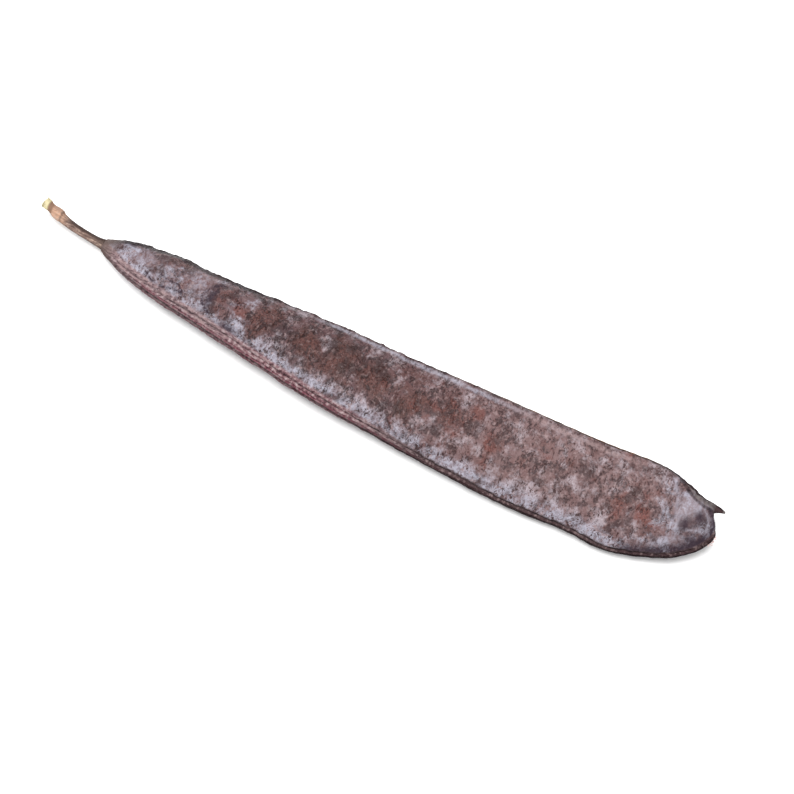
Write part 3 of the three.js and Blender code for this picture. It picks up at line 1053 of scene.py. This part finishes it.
class StalkLook(bpy.types.PropertyGroup):
    """Colours of the stalk, and the length of its torn fibres."""

    tan: colour_property("Tan", "Swollen joint of the stalk", (0.69, 0.55, 0.465))
    bark: colour_property("Bark", "Middle of the stalk", (0.46, 0.375, 0.345))
    neck: colour_property("Neck", "Stalk beside the pod", (0.4, 0.335, 0.31))
    pale: colour_property("Pale fibres", "Palest strands of the bark", (0.64, 0.555, 0.505))
    # Furrow is also the painted shade in the grooves and under the swollen joint
    furrow: colour_property("Furrow", "Furrows, and the dark strip above", (0.2, 0.155, 0.145))
    waist: colour_property("Waist", "Narrow brown neck beside the scar", (0.43, 0.33, 0.27))
    scar: colour_property("Scar", "Corky scar at the stalk's end", (0.74, 0.7, 0.56))
    # Scar's rim is partly painted shade, round the scar's edges and on its far side
    scar_rim: colour_property("Scar's rim", "Edges of the scar", (0.47, 0.43, 0.31))
    torn_pink: colour_property("Torn skin", "Fibres of the split skin", (0.72, 0.6, 0.58))
    fibre_length: length_property("Fibre length", "Longest torn fibre", 1.1 * MM)


class Studio(bpy.types.PropertyGroup):
    """Camera and light."""

    elevation: angle_property(
        "Elevation", "Camera's angle above the surface that the pod lies on", 70
    )
    heading: angle_property(
        "Heading", "Angle from the pod's long axis to the picture's right-hand side", 26.5
    )
    distance: length_property("Distance", "From the camera to the middle of the picture", 0.6374)
    lens: number_property("Lens", "Focal length in millimetres on a 36 mm sensor", 85, "CAMERA")
    target: bpy.props.FloatVectorProperty(
        name="Target",
        description="Point in the middle of the picture, on the floor",
        default=(12.63 * MM, 3.08 * MM, 0),
        subtype="XYZ",
        unit="LENGTH",
    )
    softbox_size: length_property(
        "Softbox size", "Side of the square light above and behind the pod", 0.6
    )
    softbox_power: number_property("Softbox power", "Power of that light, in watts", 14.5, "POWER")
    fill: number_property("Fill", "Brightness of the even light from all round", 0.7, "NONE")
    floor_colour: colour_property("Floor", "Plain pale floor", (0.97, 0.97, 0.97))


def limits(rings, box):
    """Lowest and highest corner of the model's box, then of the rings, in millimetres."""
    low, high = (np.array(corner) / MM for corner in box)
    flat = rings.reshape(-1, 3)
    return low, high, flat.min(axis=0), flat.max(axis=0)


class LOCUSTPOD_OT_pod(bpy.types.Operator):
    """Build the pod with its seams, seed swellings, wrinkled skin and beak"""

    bl_idname = "locust_pod.pod"
    bl_label = "Pod"

    def execute(self, context):
        form = context.scene.locust_pod_form
        look = context.scene.locust_pod_skin
        rings, about = pod_surface(form)
        rings += self.place(rings)
        ends = [rings[0].mean(axis=0), rings[-1].mean(axis=0) + BEAK_POINT]
        piece = rings_to_mesh("pod_skin", rings, ends, about)
        values = {
            "Fold Height": look.fold_height,
            "Crepe Height": look.crepe_height,
            "Pebble Height": look.pebble_height,
            "Material": skin_material(look),
        }
        apply_tree(piece, skin_relief_tree(), values)
        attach(piece, "root")
        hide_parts("pod")
        return {"FINISHED"}

    @staticmethod
    def place(rings):
        """How far the pod moves to lie where the model's pod lies, in millimetres."""
        low, high, least, most = limits(rings, POD_BOX)
        return np.array(
            [low[0] - least[0], (low[1] + high[1] - least[1] - most[1]) / 2, high[2] - most[2]]
        )


class LOCUSTPOD_OT_stalk(bpy.types.Operator):
    """Build the stalk with its furrows, swollen joint and pale scar"""

    bl_idname = "locust_pod.stalk"
    bl_label = "Stalk"

    def execute(self, context):
        look = context.scene.locust_pod_stalk
        rings, about = self.surface()
        rings += self.place(rings)
        ends = [rings[0].mean(axis=0), rings[-1].mean(axis=0)]
        piece = rings_to_mesh("stalk_bark", rings, ends, about)
        piece.data.materials.append(bark_material(look))
        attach(piece, "root")
        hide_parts("stalk")
        return {"FINISHED"}

    @classmethod
    def surface(cls):
        """Ring points from the pod's neck to the hollow scar, and what is known of each."""
        path = np.array(STALK_PATH, float)
        shares = np.linspace(0, 1, STALK_RINGS)
        centre = rail(path[:, :3] - (NECK_GAP, 0, 0), shares)
        steps = np.column_stack([np.arange(len(path)), path[:, 3]])
        radius = rail(steps, shares)[:, 1]
        forward = np.gradient(centre, axis=0)
        forward[0] = (-1, 0, 0)
        forward /= np.linalg.norm(forward, axis=1)[:, None]
        side = np.cross((0, 0, 1), forward)
        side /= np.linalg.norm(side, axis=1)[:, None]
        up = np.cross(forward, side)
        angle = 2 * np.pi * np.arange(STALK_SIDES) / STALK_SIDES

        drift = STALK_WANDER * wander(centre[:, 0], STALK_WANDER_LENGTH, 30)[:, None]
        turned = angle[None, :] + drift
        groove = 0.5 + 0.5 * np.cos(STALK_GROOVES * turned + STALK_TURN * shares[:, None])
        fibres = np.cos(STALK_FIBRES * turned + FIBRE_DRIFT * drift)
        r = radius[:, None] - STALK_GROOVE * groove + STALK_FIBRE * fibres
        rings = (
            centre[:, None, :]
            + side[:, None, :] * (r * np.cos(angle))[:, :, None]
            + up[:, None, :] * (r * np.sin(angle))[:, :, None]
        )
        rings = np.concatenate([rings, cls.hollow(rings[-1], forward[-1], angle)])
        groove = np.concatenate([groove, np.zeros((SCAR_RINGS - 1, STALK_SIDES))])
        behind = np.broadcast_to(-np.cos(angle), groove.shape)
        return rings, {"along": rings[:, :, 0].copy(), "groove": groove, "behind": behind}

    @staticmethod
    def hollow(rim, outward, angle):
        """The scar: rings that shrink and sink into the stalk's end."""
        middle = rim.mean(axis=0)
        rings = []
        for k in range(1, SCAR_RINGS):
            share = k / SCAR_RINGS
            sunk = SCAR_DEPTH * smoothstep(share, 0, 0.6)
            ragged = SCAR_RAGGEDNESS * np.cos(7 * angle + 2 * k)[:, None] * outward
            rings.append(rim + (middle - rim) * share - outward * sunk + ragged * (1 - share))
        return rings

    @staticmethod
    def place(rings):
        """How far the stalk moves to lie where the model's stalk lies, in millimetres."""
        low, high, least, most = limits(rings, STALK_BOX)
        shift = (low + high - least - most) / 2
        shift[0] = high[0] - most[0]
        return shift


class LOCUSTPOD_OT_torn_fibres(bpy.types.Operator):
    """Add the torn fibres round the stalk's scar and at the split skin of the tip"""

    bl_idname = "locust_pod.torn_fibres"
    bl_label = "Torn fibres"

    def execute(self, context):
        look = context.scene.locust_pod_stalk
        tree = tuft_tree()
        places = {
            "scar_fibres": (self.scar_points(), look.scar, "stalk_bark"),
            "tip_fibres": (self.tip_points(), look.torn_pink, "pod_skin"),
        }
        for name, (points, colour, slot) in places.items():
            piece = self.points_object(name, points)
            material = fibre_material(name.replace("_", " "), colour)
            apply_tree(piece, tree, {"Length": look.fibre_length, "Material": material})
            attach(piece, "root")
        return {"FINISHED"}

    @staticmethod
    def points_object(name, points):
        """Loose points, each with the heading of its fibre."""
        mesh = bpy.data.meshes.new(name)
        mesh.from_pydata([tuple(p) for p, _ in points], [], [])
        heading = mesh.attributes.new("heading", "FLOAT_VECTOR", "POINT")
        heading.data.foreach_set("vector", np.array([h for _, h in points]).ravel())
        return add_object(name, mesh)

    @staticmethod
    def scar_points():
        """Points just inside the rim of the stalk's end, sunk a little into it."""
        stalk = bpy.data.objects["stalk_bark"].data
        places = np.array([v.co[:] for v in stalk.vertices])
        rim = places[(STALK_RINGS - 1) * STALK_SIDES : STALK_RINGS * STALK_SIDES]
        middle = rim.mean(axis=0)
        outward = Vector(SCAR_FACING).normalized()
        points = []
        for k in range(0, STALK_SIDES, SCAR_FIBRE_STEP):
            inset = rim[k] * (1 - SCAR_FIBRE_INSET) + middle * SCAR_FIBRE_INSET
            spot = Vector(inset) - outward * FIBRE_ROOT * MM
            spread = Vector(rim[k] - middle).normalized()
            points.append((spot, outward + spread * SCAR_FIBRE_SPREAD))
        return points

    @staticmethod
    def tip_points():
        """Points on the seed seam, where the skin of the blunt tip has split."""
        pod = bpy.data.objects["pod_skin"].data
        places = np.empty(len(pod.vertices) * 3)
        pod.vertices.foreach_get("co", places)
        known = {}
        for name in ("along", "across", "to_seed_seam"):
            known[name] = np.empty(len(pod.vertices))
            pod.attributes[name].data.foreach_get("value", known[name])
        split = (known["to_seed_seam"] < SPLIT_REACH) & (known["along"] > SPLIT_FROM_X)
        split &= (known["across"] > SPLIT_FROM_Y) & (known["across"] < SPLIT_TO_Y)
        corner = places.reshape(-1, 3)[split]
        chosen = corner[:: max(1, len(corner) // TIP_FIBRES)][:TIP_FIBRES]
        return [(Vector(p), Vector(TIP_FIBRE_HEADING).normalized()) for p in chosen]


class LOCUSTPOD_OT_stage(bpy.types.Operator):
    """Add the pale floor, the soft light and the camera"""

    bl_idname = "locust_pod.stage"
    bl_label = "Floor, light and camera"

    def execute(self, context):
        studio = context.scene.locust_pod_studio
        self.floor(studio)
        self.lights(studio)
        self.camera(studio)
        context.scene.view_settings.view_transform = "Standard"
        return {"FINISHED"}

    @staticmethod
    def floor(studio):
        a, b = -FLOOR_HALF, FLOOR_HALF
        mesh = bpy.data.meshes.new("floor")
        mesh.from_pydata([(a, a, 0), (b, a, 0), (b, b, 0), (a, b, 0)], [], [(0, 1, 2, 3)])
        material, bench, shader = new_material("floor")
        bench.feed(shader.inputs["Base Color"], shader_colour(studio.floor_colour))
        bench.feed(shader.inputs["Roughness"], 0.9)
        bench.feed(shader.inputs["Specular IOR Level"], 0.1)
        mesh.materials.append(material)
        add_object("floor", mesh)

    @staticmethod
    def lights(studio):
        softbox = bpy.data.lights.new("softbox", "AREA")
        softbox.shape = "SQUARE"
        softbox.size = studio.softbox_size
        softbox.energy = studio.softbox_power
        overhead = add_object("softbox", softbox)
        overhead.location = SOFTBOX_PLACE
        aim = Vector(studio.target) - overhead.location
        overhead.rotation_euler = aim.to_track_quat("-Z", "Y").to_euler()
        world = bpy.data.worlds.new("studio")
        world.use_nodes = True
        background = world.node_tree.nodes["Background"]
        background.inputs["Color"].default_value = (1, 1, 1, 1)
        background.inputs["Strength"].default_value = studio.fill
        bpy.context.scene.world = world

    @staticmethod
    def camera(studio):
        right = Vector((math.cos(studio.heading), math.sin(studio.heading), 0))
        away = Vector((-math.sin(studio.heading), math.cos(studio.heading), 0))
        back = Vector((0, 0, 1)) * math.sin(studio.elevation) - away * math.cos(studio.elevation)
        up = back.cross(right)
        place = Vector(studio.target) + back * studio.distance
        data = bpy.data.cameras.new("camera")
        data.lens = studio.lens
        data.clip_start = CLIP_START
        camera = add_object("camera", data)
        turn = Matrix((right, up, back)).transposed().to_4x4()
        camera.matrix_world = Matrix.Translation(place) @ turn
        bpy.context.scene.camera = camera


class LOCUSTPOD_PT_panel(bpy.types.Panel):
    """The pod's properties and pieces"""

    bl_idname = "LOCUSTPOD_PT_panel"
    bl_label = "Locust Pod"
    bl_space_type = "VIEW_3D"
    bl_region_type = "UI"
    bl_category = "Locust Pod"

    def draw(self, context):
        for name, title, _ in GROUPS:
            box = self.layout.box()
            box.label(text=title)
            group = getattr(context.scene, name)
            for prop in group.bl_rna.properties:
                if prop.identifier not in {"rna_type", "name"}:
                    box.prop(group, prop.identifier)
        for operator in PIECES:
            self.layout.operator(operator.bl_idname)


GROUPS = (
    ("locust_pod_form", "Form", PodForm),
    ("locust_pod_skin", "Skin", PodSkin),
    ("locust_pod_stalk", "Stalk", StalkLook),
    ("locust_pod_studio", "Studio", Studio),
)
PIECES = (
    LOCUSTPOD_OT_pod,
    LOCUSTPOD_OT_stalk,
    LOCUSTPOD_OT_torn_fibres,
    LOCUSTPOD_OT_stage,
)


def register():
    for name, _, group in GROUPS:
        bpy.utils.register_class(group)
        setattr(bpy.types.Scene, name, bpy.props.PointerProperty(type=group))
    for piece in PIECES:
        bpy.utils.register_class(piece)
    bpy.utils.register_class(LOCUSTPOD_PT_panel)


def unregister():
    bpy.utils.unregister_class(LOCUSTPOD_PT_panel)
    for piece in reversed(PIECES):
        bpy.utils.unregister_class(piece)
    for name, _, group in reversed(GROUPS):
        delattr(bpy.types.Scene, name)
        bpy.utils.unregister_class(group)


def main():
    register()
    bpy.ops.locust_pod.stage()
    bpy.ops.locust_pod.pod()
    bpy.ops.locust_pod.stalk()
    bpy.ops.locust_pod.torn_fibres()


if __name__ == "__main__":
    main()
